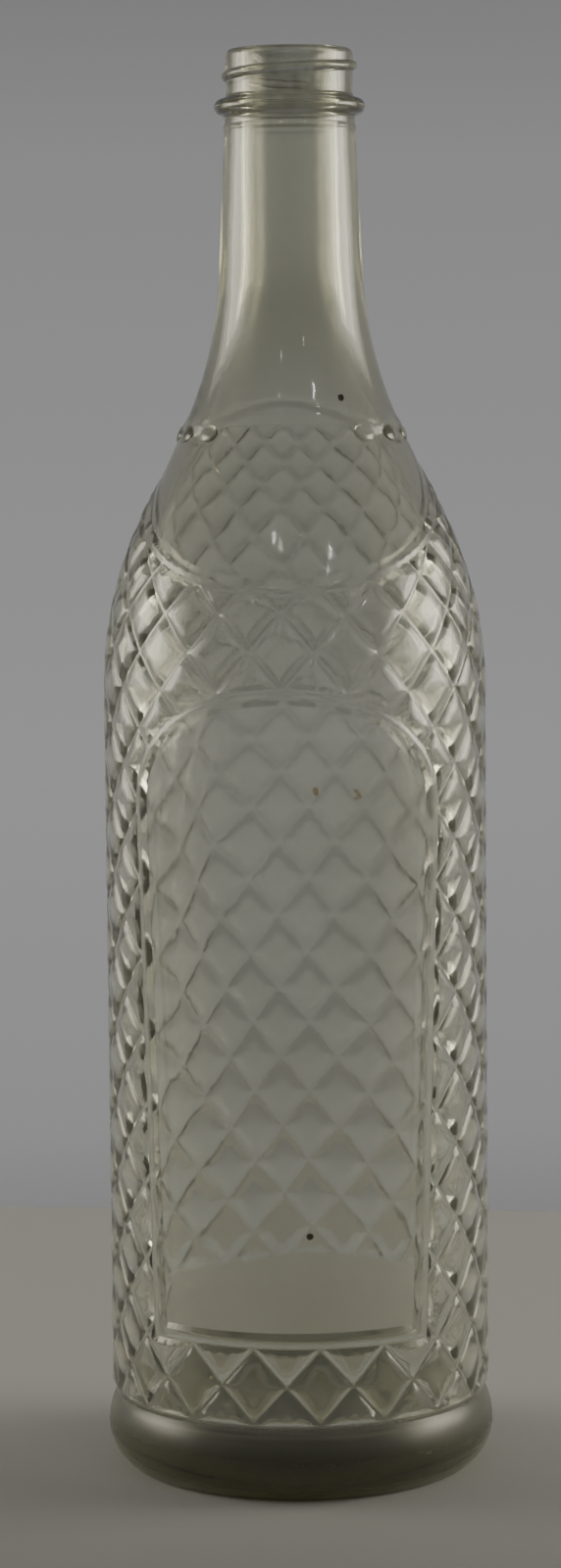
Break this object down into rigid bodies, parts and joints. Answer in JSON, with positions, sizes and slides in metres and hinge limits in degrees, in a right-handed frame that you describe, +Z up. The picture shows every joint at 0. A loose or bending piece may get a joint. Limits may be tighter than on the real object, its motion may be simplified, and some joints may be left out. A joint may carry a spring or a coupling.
{
  "type": "glass soda bottle",
  "caption": "Tall clear glass soda bottle with a quilted diamond-pattern body, smooth arched label panel, sloping shoulder and an open screw-thread mouth.",
  "frame": {"origin": "centre of the circle the bottle stands on, in the plane of its standing ring", "axes": "+Z up the neck to the mouth; -Y out of the smooth label panel; +X to the right when the label panel faces the viewer"},
  "size_m": [0.0816, 0.0816, 0.2954],
  "materials": {
    "clear_glass": "fire-polished soda-lime glass with a faint grey-green tint, scuffed on the high points"
  },
  "bodies": {
    "root": {"bottle_glass": "clear_glass"}
  },
  "joints": []
}
